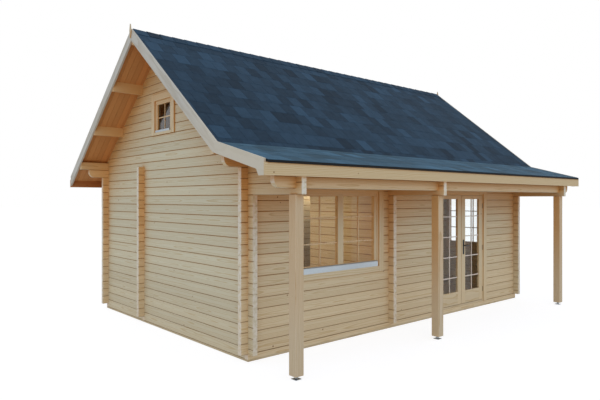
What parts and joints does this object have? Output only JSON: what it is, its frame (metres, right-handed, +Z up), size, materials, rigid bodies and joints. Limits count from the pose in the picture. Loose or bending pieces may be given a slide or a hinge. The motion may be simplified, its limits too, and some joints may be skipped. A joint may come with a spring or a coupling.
{
  "type": "log cabin",
  "caption": "Log cabin of notched wall logs with a shingled gable roof that runs out over a front porch on posts, a glazed double door, a wide casement window and small attic windows.",
  "frame": {"origin": "on the ground, below the middle of the roof's outline", "axes": "+X along the front towards the door, +Y from the porch to the back, +Z up"},
  "size_m": [7.7032, 5.9166, 4.5765],
  "materials": {
    "base_timber": "sawn, treated",
    "spruce_logs": "planed, untreated",
    "spruce_boards": "planed, untreated",
    "spruce_trim": "planed, untreated",
    "spruce_posts": "planed, untreated",
    "joinery": "sanded, untreated",
    "glazing": "clear float glass",
    "bitumen_shingles": "mineral granules",
    "galvanised_steel": "galvanised",
    "aluminium_bar": "satin",
    "black_steel": "satin black"
  },
  "bodies": {
    "house": {"base_beams": "base_timber", "floor_joists": "base_timber", "front_sill_log": "spruce_logs", "front_wall_left": "spruce_logs", "front_wall_right": "spruce_logs", "front_wall_head": "spruce_logs", "back_wall": "spruce_logs", "left_gable_wall": "spruce_logs", "right_gable_wall": "spruce_logs", "middle_wall": "spruce_logs", "cross_wall": "spruce_logs", "porch_beam": "spruce_logs", "purlins": "spruce_logs", "floor_boards": "spruce_boards", "front_deck": "spruce_boards", "porch_deck": "spruce_boards", "back_deck": "spruce_boards", "left_barge_boards": "spruce_trim", "right_barge_boards": "spruce_trim", "front_fascia": "spruce_trim", "back_fascia": "spruce_trim", "finials": "spruce_trim", "window_trims": "spruce_trim", "door_trim": "spruce_trim", "left_post": "spruce_posts", "middle_post": "spruce_posts", "right_post": "spruce_posts", "front_window_frame": "joinery", "front_window_sashes": "joinery", "right_window_frame": "joinery", "right_window_sash": "joinery", "attic_window_frames": "joinery", "attic_window_sashes": "joinery", "door_frame": "joinery", "front_window_glass": "glazing", "right_window_glass": "glazing", "attic_window_glass": "glazing", "front_shingles": "bitumen_shingles", "porch_shingles": "bitumen_shingles", "back_shingles": "bitumen_shingles", "ridge_cap": "bitumen_shingles", "post_feet": "galvanised_steel", "door_hinges": "galvanised_steel", "drip_bars": "aluminium_bar"},
    "left_door": {"door_leaf_left": "joinery", "door_glass_left": "glazing"},
    "right_door": {"door_leaf_right": "joinery", "door_glass_right": "glazing", "door_handle": "black_steel"}
  },
  "joints": [
    {"name": "left_door_hinge", "type": "hinge", "parent": "house", "child": "left_door", "pos_m": [0.674, -1.92508, 1.1], "axis": [0, 0, -1], "range_deg": [0, 110]},
    {"name": "right_door_hinge", "type": "hinge", "parent": "house", "child": "right_door", "pos_m": [2.068, -1.92508, 1.1], "axis": [0, 0, 1], "range_deg": [0, 110]}
  ]
}
